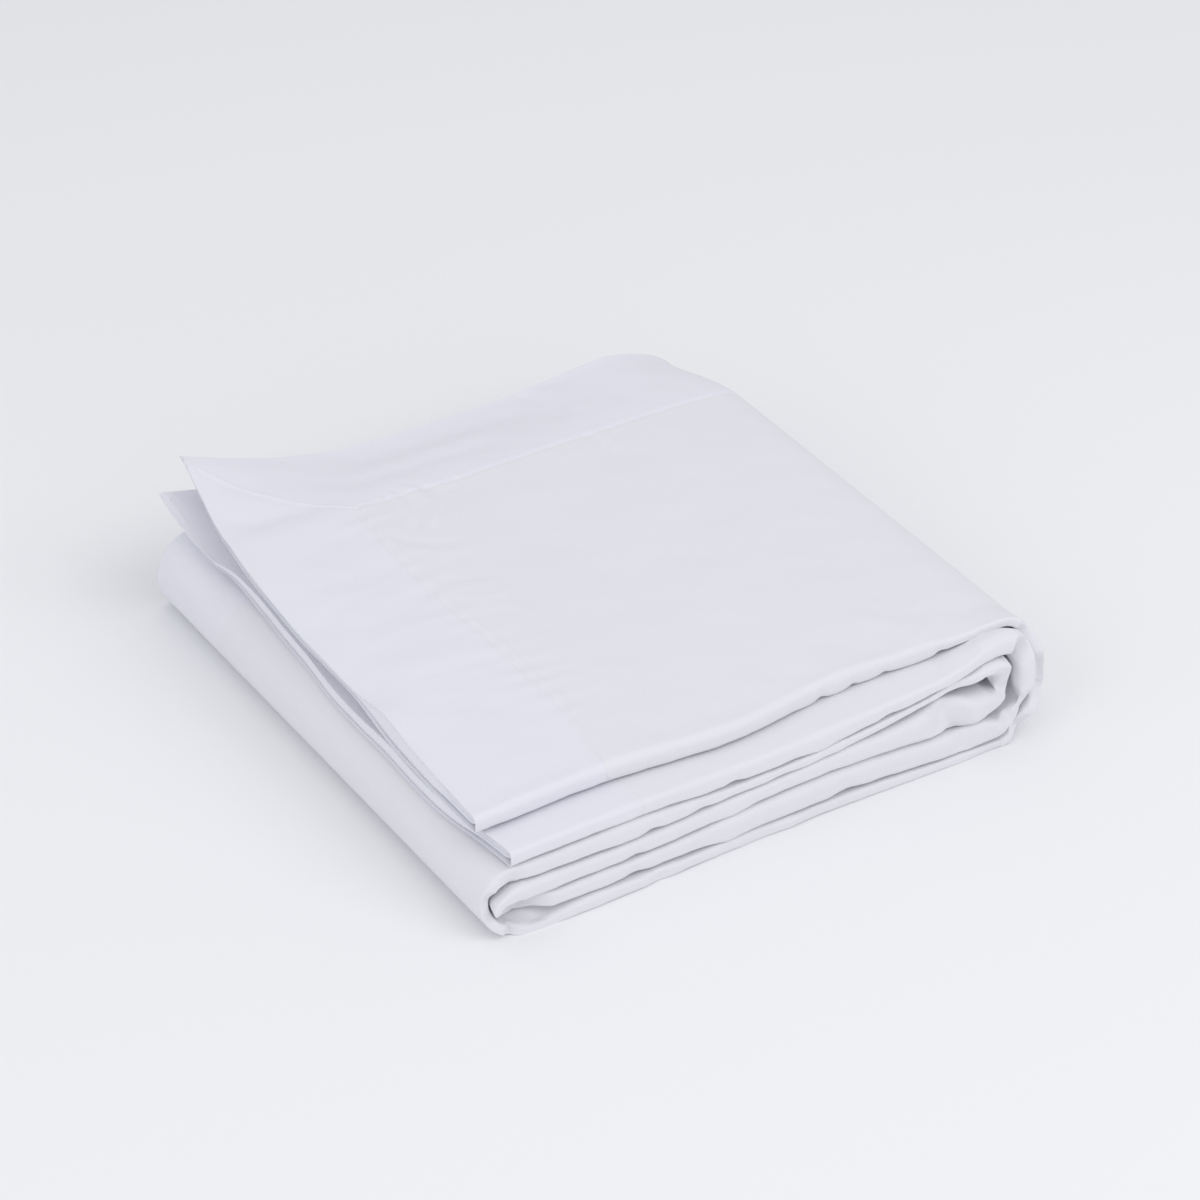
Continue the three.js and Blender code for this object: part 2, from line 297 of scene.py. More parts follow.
def columns(first_steps, fold_steps, second_steps):
    """Columns of a section. The steps of a ply are given as (share of its depth, number)."""
    out = [(FIRST_PLY, t) for t in graded(first_steps)[:-1]]
    out += [(FOLD, k / fold_steps) for k in range(fold_steps + 1)]
    out += [(SECOND_PLY, t) for t in graded(second_steps)[1:]]
    return np.array(out)


def graded(parts):
    """Values from 0 to 1: each part ends at its share and has that number of steps."""
    values = [0.0]
    for share, count in parts:
        start = values[-1]
        values += [mix(start, share, (k + 1) / count) for k in range(count)]
    return values


def section(cols, front, fold, facing, upper_power, first_back, second_back):
    """y and share across the strip (1 first ply, -1 second) of each column, for rows of edges."""
    zone, t = cols[:, 0][None, :], cols[:, 1][None, :]
    crest = front + fold
    angle = math.pi * (0.5 - t)
    up = 0.5 + 0.5 * facing * np.sign(0.5 - t)
    power = mix(LOWER_POWER, upper_power, up)
    round_y = front + fold * (1.0 - np.abs(np.cos(angle)) ** (2.0 / power))
    round_share = np.sign(np.sin(angle)) * np.abs(np.sin(angle)) ** (2.0 / power)
    y = np.where(zone == FIRST_PLY, mix(first_back, crest, t), mix(crest, second_back, t))
    y = np.where(zone == FOLD, round_y, y)
    share = np.where(zone == FIRST_PLY, 1.0, np.where(zone == FOLD, round_share, -1.0))
    return y, share + np.zeros_like(y)


def around_fold(cols, y, crest, quarter):
    """Way round the section from the very front, in mm: positive on the first ply."""
    zone, t = cols[:, 0][None, :], cols[:, 1][None, :]
    side = np.where(zone == FIRST_PLY, 1.0, -1.0)
    return np.where(zone == FOLD, 2.0 * (0.5 - t) * quarter, side * (quarter + np.abs(y - crest)))


def facing_at(leg, f):
    """1 where the first ply is the upper one, -1 where it is the lower one."""
    if ROUTE[leg][0] == "pass":
        return ROUTE[leg][2] + np.zeros_like(f)
    return mix(ROUTE[leg - 1][2], ROUTE[leg + 1][2], f)


def upper_power_at(leg, f):
    """Squareness of the fold's upper half: the top fold, with nothing on it, is rounder."""
    if leg > 1:
        return UPPER_POWER + np.zeros_like(f)
    return mix(TOP_POWER, UPPER_POWER, leg * smooth(2.0 * f))


def strip(rows, cols, first_x, last_x, first_back, second_back):
    """Points of the strip's outer face, the way out of the cloth there, and tags of each point.

    rows are (leg, f), and the backs of the two plies are functions of the back edge.
    """
    shape = (len(rows), len(cols))
    legs = np.array([leg for leg, _ in rows])
    shares = np.array([f for _, f in rows], float)
    points = np.zeros(shape + (3,))
    outward = np.zeros_like(points)
    around = np.zeros(shape)
    tags = {name: np.zeros(shape) for name in ("share", "front", "over")}
    tags["leg"] = np.broadcast_to(legs[:, None], shape)
    tags["f"] = np.broadcast_to(shares[:, None], shape)
    way = np.array([way_at(leg, f) for leg, f in rows])
    for leg in sorted(set(legs)):
        m = legs == leg
        f = shares[m]
        front, back = edges_at(leg, f, first_x(0.0), last_x(0.0))
        front, back = front[:, None], back[:, None]
        fold = FOLD_DEPTH * middle(leg, f[:, None], front, first_x, last_x)[4]
        y, share = section(cols, front, fold, facing_at(leg, f)[:, None], upper_power_at(leg, f)[:, None],
                           first_back(back), second_back(back))
        x, z, nx, nz, half = middle(leg, f[:, None] + np.zeros_like(y), y, first_x, last_x)
        points[m] = np.stack([x + nx * half * share, y, z + nz * half * share], -1)
        outward[m] = np.stack([nx * share, np.zeros_like(x), nz * share], -1)
        quarter = QUARTER_SHARE * fold * (1.0 + 1.0 / FOLD_DEPTH)
        around[m] = around_fold(cols, y, front + fold, quarter)
        tags["share"][m] = share
        tags["front"][m] = front + np.zeros_like(y)
        tags["over"][m] = seam_overlap(leg, x, y, back, share)
    return points + kinked(way[:, None], around), outward, tags


def seam_overlap(leg, x, y, back, share):
    """How far the panel lies under a border, in mm: past the side seam, or past a free end's seam."""
    over = np.where(share > 0.0, y - (back - SIDE_WIDTH), -1.0)
    if leg in FREE_LEGS:
        number = FREE_LEGS[leg]
        over = np.maximum(over, FREE_END_X + END_WIDTH[number] - x)
    return over


LEG_SAMPLES = 40
SAMPLE_Y = 8.0      # where the legs are measured


def leg_lengths():
    """Length of each leg's middle line behind the front folds, and the way at which each starts."""
    f = np.linspace(0.0, 1.0, LEG_SAMPLES)
    y = np.full(LEG_SAMPLES, SAMPLE_Y)
    end = constant(FREE_END_X)
    lengths = []
    for leg in range(len(ROUTE)):
        x, z, _, _, _ = middle(leg, f, y, end, end)
        lengths.append(np.hypot(np.diff(x), np.diff(z)).sum())
    return lengths, np.concatenate([[0.0], np.cumsum(lengths)])


LENGTHS, STARTS = leg_lengths()


def way_at(leg, f):
    """Way along the whole strip at a place, in mm."""
    return STARTS[leg] + f * LENGTHS[leg]


# Kinks of the folds, pushed in one by one. Each has its leg and f, and in mm its place round the fold,
# its reach along the strip and round the fold, and the push in x, y and z.
KINKS = (
    # right outer turn
    (1, 0.5, 0, 52, 44, -2, -4.5, 0),
    (1, 0.13, 4, 24, 18, 0.5, 0, 3),
    (1, 0.02, -10, 44, 15, 0, 0, 6),
    (1, 0.25, -2, 7, 9, -2, 5.5, -1),
    (1, 0.4, 2, 14, 12, 0.8, -2, 0),
    (1, 0.56, -5, 8, 10, -2, 9, 0),
    (1, 0.7, 1, 9, 11, 0.8, -2.5, 0),
    (1, 0.82, 0, 8, 9, -1, 5, 1),
    (1, 0.74, 0, 16, 30, -3, 0, 2),
    (1, 0.47, -3, 7, 8, -1, 8, 0),
    # right middle turn
    (9, 0.52, 9, 32, 15, -4, 0.5, 0),
    (9, 0.45, -1, 20, 12, -2, -2, 0),
    (9, 0.78, 3, 9, 12, 0, 9, 1),
    (9, 0.9, -9, 30, 20, 3, 0, 7),
    (10, 0.03, -9, 32, 20, 0, 0, 5),
    (9, 0.33, -7, 11, 13, -5, 3, 0),
    (9, 0.3, 8, 10, 13, 4, 2, 0),
    (9, 0.17, 3, 7, 9, 0, 4, 0),
    (9, 0.05, 0, 14, 12, 0, -3, 2),
    # tent of pass 3 and the right inner turn
    (5, 0.02, 5, 26, 13, 0, -3, 4),
    (5, 0.3, 2, 10, 9, 0, -2, 2),
    (5, 0.34, -10, 30, 22, -14, 0.5, 0),
    (5, 0.62, 1, 12, 11, -3, 3.5, 0),
    (5, 0.1, 0, 22, 6, 0, -3, 0),
    (5, 0.45, -4, 22, 8, 0, 2.5, 0),
    (4, 0.975, -7, 18, 14, 0, -1, -2.5),
    (4, 0.93, 1, 14, 8, 0, 2.5, 0),
    # pass 4 under the tent
    (6, 0.095, -12, 36, 24, 0, 0, 5),
    (6, 0.1, -4, 12, 15, 0, 6, -1),
    (6, 0.07, 7, 9, 11, 0, 5, 0),
    (6, 0.02, -3, 12, 14, 0, -3, 0),
    (5, 0.93, 11, 11, 12, 0, 4, 5),
    (8, 0.975, 7, 16, 10, 0, -1, 3),
    (8, 0.93, 3, 8, 9, 0, 2.5, 0),
    # left outer turn and what lies inside it
    (3, 0.52, 0, 30, 34, 0, 7.5, 0),
    (3, 0.1, -2, 4, 14, 0, 5, 0),
    (3, 0.93, -3, 6, 7, 0, 2.5, -1),
    (3, 0.7, -2, 7, 8, 0, -2, 0.5),
    (7, 0.5, 0, 22, 22, -5.5, -1, 0),
    (7, 0.88, 3, 8, 14, 2, 6, 0),
    (8, 0.01, 3, 12, 26, 0, 12, 0),
    (2, 0.975, -6, 24, 11, 0, 3, -5),
    # edge of pass 1 over pass 2
    (0, 0.53, -7, 16, 9, 0, -0.6, -1),
    (0, 0.572, -7, 6, 8, 0, 0.9, 0.9),
    (0, 0.612, -7, 15, 9, 0, -0.6, -1),
    (0, 0.655, -7, 5, 8, 0, 1, 1),
    (0, 0.7, -7, 13, 9, 0, -0.6, -1),
    (0, 0.738, -7, 5, 8, 0, 1, 0.9),
    (0, 0.81, -7, 22, 9, 0, -0.6, -1.1),
    (0, 0.88, -7, 6, 8, 0, 1.2, 1),
    (0, 0.945, -7, 16, 9, 0, -0.6, 1),
    (0, 0.76, 12, 24, 16, 0, 0, -0.9),
    (0, 0.85, 15, 18, 18, 0, 0, 0.8),
    (0, 0.91, 13, 18, 16, 0, 0, -1),
    # edges of passes 2, 3, 5 and 6
    (10, 0.735, 6, 9, 7, 0, 1.3, 1),
    (10, 0.5, 6, 16, 8, 0, -0.8, -0.8),
    (10, 0.3, 6, 12, 8, 0, 1.2, 0.8),
    (4, 0.27, -5, 8, 6, 0, 1.4, 0.9),
    (4, 0.375, -5, 9, 6, 0, 1.2, 0.8),
    (4, 0.6, -4, 12, 6, 0, -0.9, -0.6),
    (6, 0.77, 6, 8, 7, 0, 1.5, 0.8),
    (6, 0.56, 6, 14, 7, 0, -1, -0.6),
    (8, 0.225, -7, 8, 8, 0, 1.6, 0.8),
    (8, 0.42, -7, 16, 8, 0, -1, -0.8),
    (8, 0.68, -7, 12, 8, 0, 1.4, 0.8),
    (2, 0.73, 0, 10, 8, 0, 1.6, 0),
    (2, 0.45, 0, 16, 8, 0, -1.2, 0),
)
KINK_SOFTNESS = 0.06    # of its ridges, as a share of its reach
KINK_TURN = 0.7         # a kink's axes are turned by up to this angle, each by another one
KINK_TURN_STEP = 3.1


def soft_size(t):
    """The size of t, with a rounded valley at 0."""
    return np.sqrt(t * t + KINK_SOFTNESS ** 2) - KINK_SOFTNESS


def kinked(way, around):
    """Push of all kinks at places of the strip, as vectors in mm."""
    push = np.zeros(np.broadcast(way, around).shape + (3,))
    for number, (leg, f, place, reach_along, reach_around, dx, dy, dz) in enumerate(KINKS):
        u = (way - way_at(leg, f)) / reach_along
        v = (around - place) / reach_around
        turn = KINK_TURN * math.sin(KINK_TURN_STEP * number)
        a = u * math.cos(turn) + v * math.sin(turn)
        b = v * math.cos(turn) - u * math.sin(turn)
        weight = np.clip(1.0 - soft_size(a), 0.0, 1.0) * np.clip(1.0 - soft_size(b), 0.0, 1.0)
        push += weight[..., None] * np.array([dx, dy, dz])
    return push


def normals_of(points, outward):
    """Unit normals of a grid of points, on the side that outward says."""
    n = np.cross(np.gradient(points, axis=0), np.gradient(points, axis=1))
    n /= np.linalg.norm(n, axis=-1, keepdims=True) + 1e-12
    return n if (n * outward).sum() > 0.0 else -n


# Soft creases on the top: both ends, how far the middle bows to the left of the way from the first
# end to the second, half width and height, all in mm. A negative height is a trough.
TOP_CREASES = (
    (112, 303, 106, 262, 5, 3, -0.9),
    (119, 303, 114, 260, 7, 3.5, 0.8),
    (127, 301, 124, 268, 8, 3.5, -0.5),
    (103, 302, 99, 268, 3, 2.6, -0.8),
    (90, 262, 122, 240, -5, 4.5, -0.55),
    (90, 254, 118, 230, -5, 4.5, 0.45),
    (90, 214, 124, 204, -4, 4, -0.45),
    (92, 194, 120, 186, -4, 4, 0.45),
    (88, 170, 112, 166, 3, 4, -0.4),
    (24, 240, 80, 246, -3, 5, -0.35),
    (22, 224, 80, 222, 3, 5, 0.35),
    (30, 196, 80, 204, -3, 4.5, -0.4),
    (26, 180, 80, 182, 3, 4.5, 0.35),
    (34, 140, 80, 132, 2, 5, -0.35),
    (150, 299, 142, 285, 2, 3, -0.5),
    (236, 300, 236, 270, 5, 4, -0.6),
    (243, 300, 246, 276, 3, 4, 0.5),
    (238, 368, 236, 322, 5, 6, -0.9),
    (250, 366, 250, 326, 5, 7, 0.7),
    (95, 322, 190, 322, 4, 7, -0.8),
    (98, 338, 200, 341, -4, 9, 0.7),
    (110, 352, 230, 350, 4, 8, -0.7),
    (16, 319, 80, 312, -5, 8, -1.3),
    (4, 345, 60, 332, -3, 9, 0.8),
    (10, 208, 78, 236, 3, 9, -0.6),
    (8, 162, 80, 150, -4, 10, 0.6),
    (12, 120, 62, 98, 3, 8, -0.5),
    (28, 62, 78, 48, -2, 8, 0.4),
    (14, 262, 74, 276, 3, 10, -0.5),
    (300, 52, 322, 30, 3, 7, -0.7),
    (268, 66, 300, 34, -3, 6, 0.5),
    (232, 60, 262, 34, 2, 6, -0.4),
    (196, 48, 222, 34, 2, 6, -0.3),
)


def crease(x, y, x0, y0, x1, y1, bow, width, height):
    """Height at (x, y) of one soft crease."""
    dx, dy = x1 - x0, y1 - y0
    length = math.hypot(dx, dy)
    t = ((x - x0) * dx + (y - y0) * dy) / length ** 2
    side = ((y - y0) * dx - (x - x0) * dy) / length - bow * 4.0 * t * (1.0 - t)
    ends = smooth(t / 0.25 + 0.5) * smooth((1.0 - t) / 0.25 + 0.5)
    return height * np.exp(-(side / width) ** 2) * ends


# Waves whose lengths share no pattern: how much shorter each is and its weight, and for those in the
# plane their direction before that
RIPPLE_WAVES = ((1.0, 0.5), (1.73, 0.3), (2.61, 0.2), (4.37, 0.12))
CLOUD_WAVES = ((0.3, 1.0, 0.4), (1.4, 1.31, 0.35), (2.5, 1.77, 0.3), (0.9, 2.43, 0.2), (2.0, 3.11, 0.15))


def ripple(t, seed):
    """Smooth uneven wave between about -1 and 1."""
    out = 0.0
    for k, (pitch, weight) in enumerate(RIPPLE_WAVES):
        out = out + weight * np.sin(pitch * t + 1.7 * seed + 2.3 * k * (1.0 + 0.37 * seed))
    return out


def cloud(x, y, size, seed):
    """Smooth uneven ground in the plane, between about -1 and 1."""
    out = 0.0
    for k, (turn, pitch, weight) in enumerate(CLOUD_WAVES):
        along_wave = (x * math.cos(turn + seed) + y * math.sin(turn + seed)) / size * 2.0 * math.pi
        out = out + weight * np.sin(pitch * along_wave + 1.9 * k + 3.1 * seed)
    return out


SEAM_X = FREE_END_X + END_WIDTH[1]      # of the seam of pass 1's free end
# How far that seam is pulled sideways: y and the shift there
SEAM_WANDER = ((20, -3), (75, 5), (140, 3), (200, -2), (262, -3), (300, 1), (340, 0))
WANDER_REACH = 38.0
# Uneven ground of the top: height, size of its hills and seed
GROUND = ((0.60, 170.0, 1), (0.34, 62.0, 2), (0.05, 21.0, 4))
# Gathers along the seams: seed, reach from the seam, height and pitch
END_GATHERS = (1, 18.0, 0.52, 14.0)
SIDE_GATHERS = (4, 7.0, 0.12, 8.0)
# Troughs of the seams: width and depth. The mitre's seam stands up instead.
END_SEAM = (1.5, 0.85)
SIDE_SEAM = (1.3, 0.42)
MITRE_SEAM = (1.0, -0.45)
# Unevenness of the front folds: height, pitch, shift from leg to leg and seed
NOSE_WAVES = ((0.42, 19.0, 2.0, 1), (0.22, 6.5, 1.0, 2))
NOSE_REACH = 30.0   # behind a front fold, over which that fades out
TOP_MARGIN = 14.0   # behind a front fold, over which the top's wrinkles fade in
TUCK = 0.4          # how far the panel dips under the border at a seam, and over which way
TUCK_WAY = 1.3
HEM_RISE = 0.5      # the turned edge of the border stands up by this much, over which width
HEM_WIDTH = 2.4
SEAM_ALLOWANCE = 2.0    # of the panel, under the borders


def puckers(distance, place, seed, reach, height, pitch):
    """Small gathers across a seam: they run away from it and fade out at a varying distance."""
    t = place / pitch * 2.0 * math.pi + 2.2 * ripple(place / 23.0, seed + 3)
    gather = np.sin(t + 0.10 * distance * ripple(place / 31.0, seed + 1))
    strength = 0.55 + 0.45 * ripple(place / 17.0, seed)
    fade = np.exp(-np.abs(distance) / (reach * (0.75 + 0.35 * ripple(place / 13.0, seed + 2))))
    return height * gather * strength * fade


def seam_line(distance, width, depth):
    """The narrow trough of a seam with a low ridge on its negative side."""
    trough = -depth * np.exp(-(distance / width) ** 2)
    return trough + 0.5 * depth * np.exp(-((distance + 2.2 * width) / (1.6 * width)) ** 2)


def top_relief(x, y):
    """Height of the top's wrinkles over the smooth stack."""
    h = sum(height * cloud(x, y, size, seed) for height, size, seed in GROUND)
    h = h + sum(crease(x, y, *row) for row in TOP_CREASES)
    seam = BACK_EDGE[1] - SIDE_WIDTH
    corner = BACK_EDGE[1] - CORNER_WIDTH
    gathered = between(y, 40.0, 40.0, seam + 8.0, 16.0)
    h = h + gathered * puckers(x - SEAM_X, y, *END_GATHERS)
    along_end_seam = between(y, 8.0, 6.0, seam + 2.0, 4.0)
    h = h + along_end_seam * seam_line(SEAM_X - x, *END_SEAM)
    along_side_seam = smooth((x - SEAM_X + 2.0) / 4.0)
    h = h + along_side_seam * puckers(y - seam, x, *SIDE_GATHERS)
    h = h + along_side_seam * seam_line(seam - y, *SIDE_SEAM)
    along_mitre = between(y, seam, 3.0, corner, 6.0)
    off_mitre = (x - mitre_x(1, y)) * math.sqrt(0.5)
    h = h + along_mitre * seam_line(off_mitre, *MITRE_SEAM)
    edge = np.minimum(x - free_end(1, y), BACK_EDGE[1] - y)
    h = h + HEM_RISE * np.exp(-(edge / HEM_WIDTH) ** 2)
    return h


def relief(points, tags):
    """How far the fine surface lies outside the smooth strip."""
    x, y = points[..., 0], points[..., 1]
    leg, f, share = tags["leg"], tags["f"], tags["share"]
    upper_side = (leg == 0) | ((leg == 1) & (f < 0.5))
    upper = np.where(upper_side, smooth(share) * smooth((y - tags["front"]) / TOP_MARGIN), 0.0)
    upper = upper * np.where(leg == 1, smooth(1.0 - f / 0.3), 1.0)
    h = upper * top_relief(x, y)
    nose = smooth(1.0 - (y - tags["front"]) / NOSE_REACH)
    for height, pitch, shift, seed in NOSE_WAVES:
        h = h + nose * height * ripple(x / pitch + shift * leg, seed)
    if "over" in tags:
        h = h - TUCK * (1.0 + 2.0 * nose) * smooth(tags["over"] / TUCK_WAY)
    return h


def on_top(tags):
    """Where the cloth is pass 1's upper ply or its fold."""
    return (tags["leg"] == 0) & (tags["share"] > -0.5)


def wandered(points, tags):
    """The top pulled sideways, so that its seam isn't straight."""
    x, y = points[..., 0], points[..., 1]
    depth, shift = zip(*SEAM_WANDER)
    pull = np.interp(y, depth, shift) * np.exp(-((x - SEAM_X) / WANDER_REACH) ** 2)
    points[..., 0] += np.where(on_top(tags), pull, 0.0)
    return points


def dressed(points, outward, tags):
    """The fine surface of a grid, with its normals."""
    n = normals_of(points, outward)
    fine = points + n * relief(points, tags)[..., None]
    fine = wandered(fine, tags)
    return fine, normals_of(fine, outward)


def mesh_from(name, verts, faces, normals, uvs, material):
    """A smooth mesh object in the frame from points in the stack."""
    data = bpy.data.meshes.new(name)
    data.from_pydata(((verts - ORIGIN) * MM).tolist(), [], faces)
    data.materials.append(material)
    layer = data.uv_layers.new(name="cloth")
    loops = np.zeros(len(data.loops), np.int32)
    data.loops.foreach_get("vertex_index", loops)
    layer.data.foreach_set("uv", (uvs[loops] * MM).astype(np.float32).ravel())
    data.polygons.foreach_set("use_smooth", np.ones(len(data.polygons), bool))
    data.validate(clean_customdata=False)
    data.normals_split_custom_set_from_vertices(normals.tolist())
    obj = bpy.data.objects.new(name, data)
    bpy.context.scene.collection.objects.link(obj)
    return obj


def grid_faces(rows, cols, start, flip):
    """Quads of a grid of points that is numbered row by row from start."""
    a = (np.arange(rows - 1)[:, None] * cols + np.arange(cols - 1)[None, :]).ravel() + start
    quads = np.stack([a, a + cols, a + cols + 1, a + 1], -1)
    return (quads[:, ::-1] if flip else quads).tolist()


def cloth_uv(points):
    """Way along the rows and along the columns, in mm."""
    down = np.linalg.norm(np.diff(points, axis=0), axis=-1).mean(1)
    across = np.linalg.norm(np.diff(points, axis=1), axis=-1).mean(0)
    u = np.concatenate([[0.0], np.cumsum(down)])
    v = np.concatenate([[0.0], np.cumsum(across)])
    return np.stack(np.broadcast_arrays(u[:, None], v[None, :]), -1)


def faces_outward(points, normals):
    """Whether a grid's quads, as grid_faces orders them unflipped, look along the normals."""
    a = points[1:, :-1] - points[:-1, :-1]
    b = points[:-1, 1:] - points[:-1, :-1]
    return (np.cross(a, b) * normals[:-1, :-1]).sum() > 0.0


def open_sheet(name, points, normals, uv_start, material):
    """A single face of cloth over a grid. Its cloth starts at uv_start along the strip."""
    rows, cols = points.shape[:2]
    uvs = cloth_uv(points) + np.array([uv_start, 0.0])
    faces = grid_faces(rows, cols, 0, not faces_outward(points, normals))
    verts = points.reshape(-1, 3)
    return mesh_from(name, verts, faces, normals.reshape(-1, 3), uvs.reshape(-1, 2), material)


RIM_ROUNDING = 0.45     # how far the rim of a thin sheet stands out, over its thickness


def rim_of(rows, cols):
    """Row and column of each point on a grid's edge, once round it."""
    rim = [(0, c) for c in range(cols)]
    rim += [(r, cols - 1) for r in range(1, rows)]
    rim += [(rows - 1, c) for c in range(cols - 2, -1, -1)]
    rim += [(r, 0) for r in range(rows - 2, 0, -1)]
    return np.array(rim).T


def rim_faces(rim, rows, cols, flip):
    """Quads that join the edges of both faces to the line of rim points between them."""
    base = 2 * rows * cols
    corner = (rim[0] * cols + rim[1]).tolist()
    count = len(corner)
    faces = []
    for k in range(count):
        a, b = corner[k], corner[(k + 1) % count]
        m, o = base + k, base + (k + 1) % count
        quads = [[a, b, o, m], [m, o, rows * cols + b, rows * cols + a]]
        faces += [q[::-1] for q in quads] if flip else quads
    return faces


def closed_sheet(name, points, normals, thickness, material):
    """Cloth with both faces and a rounded rim over a grid."""
    rows, cols = points.shape[:2]
    flip = not faces_outward(points, normals)
    inner = points - normals * thickness
    uv = cloth_uv(points)
    rim = rim_of(rows, cols)
    rim_r, rim_c = rim
    edge = points[rim_r, rim_c]
    out = edge - points[np.clip(rim_r, 1, rows - 2), np.clip(rim_c, 1, cols - 2)]
    out -= (out * normals[rim_r, rim_c]).sum(-1, keepdims=True) * normals[rim_r, rim_c]
    out /= np.linalg.norm(out, axis=-1, keepdims=True) + 1e-12
    middle_line = edge - normals[rim_r, rim_c] * thickness / 2.0 + out * thickness * RIM_ROUNDING
    verts = np.concatenate([points.reshape(-1, 3), inner.reshape(-1, 3), middle_line])
    turned = np.concatenate([normals.reshape(-1, 3), -normals.reshape(-1, 3), out])
    uvs = np.concatenate([uv.reshape(-1, 2), uv.reshape(-1, 2), uv[rim_r, rim_c]])
    faces = grid_faces(rows, cols, 0, flip) + grid_faces(rows, cols, rows * cols, not flip)
    return mesh_from(name, verts, faces + rim_faces(rim, rows, cols, flip), turned, uvs, material)


def stations(*parts):
    """Rows of the route: parts are (leg, first f, last f, number of steps)."""
    out = []
    for leg, first, last, count in parts:
        out += [(leg, mix(first, last, k / count)) for k in range(count)]
    leg, _, last, _ = parts[-1]
    return out + [(leg, last)]


def weave_links(tree, bsdf, strength):
    """Bumps of a fine plain weave over soft small crumples."""
    nodes, links = tree.nodes, tree.links
    coords = nodes.new("ShaderNodeUVMap")
    coords.uv_map = "cloth"
    threads = []
    for axis in ("X", "Y"):
        wave = nodes.new("ShaderNodeTexWave")
        wave.wave_type = "BANDS"
        wave.bands_direction = axis
        wave.inputs["Scale"].default_value = 330.0
        wave.inputs["Distortion"].default_value = 1.2
        wave.inputs["Detail"].default_value = 2.0
        wave.inputs["Detail Scale"].default_value = 0.6
        links.new(coords.outputs["UV"], wave.inputs["Vector"])
        threads.append(wave)
    weave = nodes.new("ShaderNodeMath")
    weave.operation = "MULTIPLY"
    links.new(threads[0].outputs["Fac"], weave.inputs[0])
    links.new(threads[1].outputs["Fac"], weave.inputs[1])
    crumple = nodes.new("ShaderNodeTexNoise")
    crumple.inputs["Scale"].default_value = 95.0
    crumple.inputs["Detail"].default_value = 6.0
    crumple.inputs["Roughness"].default_value = 0.55
    crumple.inputs["Distortion"].default_value = 0.6
    links.new(coords.outputs["UV"], crumple.inputs["Vector"])
    fine = nodes.new("ShaderNodeBump")
    fine.inputs["Strength"].default_value = strength
    fine.inputs["Distance"].default_value = 0.00008
    links.new(weave.outputs["Value"], fine.inputs["Height"])
    soft = nodes.new("ShaderNodeBump")
    soft.inputs["Strength"].default_value = 0.35
    soft.inputs["Distance"].default_value = 0.0006
    links.new(crumple.outputs["Fac"], soft.inputs["Height"])
    links.new(fine.outputs["Normal"], soft.inputs["Normal"])
    links.new(soft.outputs["Normal"], bsdf.inputs["Normal"])


DARKER_TONE = 0.985     # of the darker places of a cloth, over its colour


def cotton(name, color, roughness, sheen, weave):
    """Matte white cotton, a little uneven in tone."""
    material = bpy.data.materials.new(name)
    material.use_nodes = True
    tree = material.node_tree
    bsdf = tree.nodes["Principled BSDF"]
    bsdf.inputs["Roughness"].default_value = roughness
    bsdf.inputs["IOR"].default_value = 1.45
    bsdf.inputs["Specular IOR Level"].default_value = 0.25
    bsdf.inputs["Sheen Weight"].default_value = sheen
    bsdf.inputs["Sheen Roughness"].default_value = 0.5
    tone = tree.nodes.new("ShaderNodeTexNoise")
    tone.inputs["Scale"].default_value = 14.0
    tone.inputs["Detail"].default_value = 3.0
    coords = tree.nodes.new("ShaderNodeUVMap")
    coords.uv_map = "cloth"
    tree.links.new(coords.outputs["UV"], tone.inputs["Vector"])
    blend = tree.nodes.new("ShaderNodeMix")
    blend.data_type = "RGBA"
    blend.inputs["A"].default_value = tuple(part * DARKER_TONE for part in color) + (1.0,)
    blend.inputs["B"].default_value = color + (1.0,)
    tree.links.new(tone.outputs["Fac"], blend.inputs["Factor"])
    tree.links.new(blend.outputs["Result"], bsdf.inputs["Base Color"])
    weave_links(tree, bsdf, weave)
    return material


FOLD_STEPS = 26     # round the front fold


def keep(back):
    """The panel's second ply reaches to the back edge."""
    return back


def seam_y(back):
    """Its first ply ends under the side border."""
    return back - SIDE_WIDTH + SEAM_ALLOWANCE


def with_ghosts(rows, before, after):
    """The rows with one more at each end, from which the first and last normals are worked out."""
    return [before or rows[0]] + rows + [after or rows[-1]]


def fix_ends(points):
    """Ghost rows that repeat the first or last one are moved out, so that the normals have a slope."""
    if np.allclose(points[0], points[1]):
        points[0] = 2.0 * points[1] - points[2]
    if np.allclose(points[-1], points[-2]):
        points[-1] = 2.0 * points[-2] - points[-3]
    return points


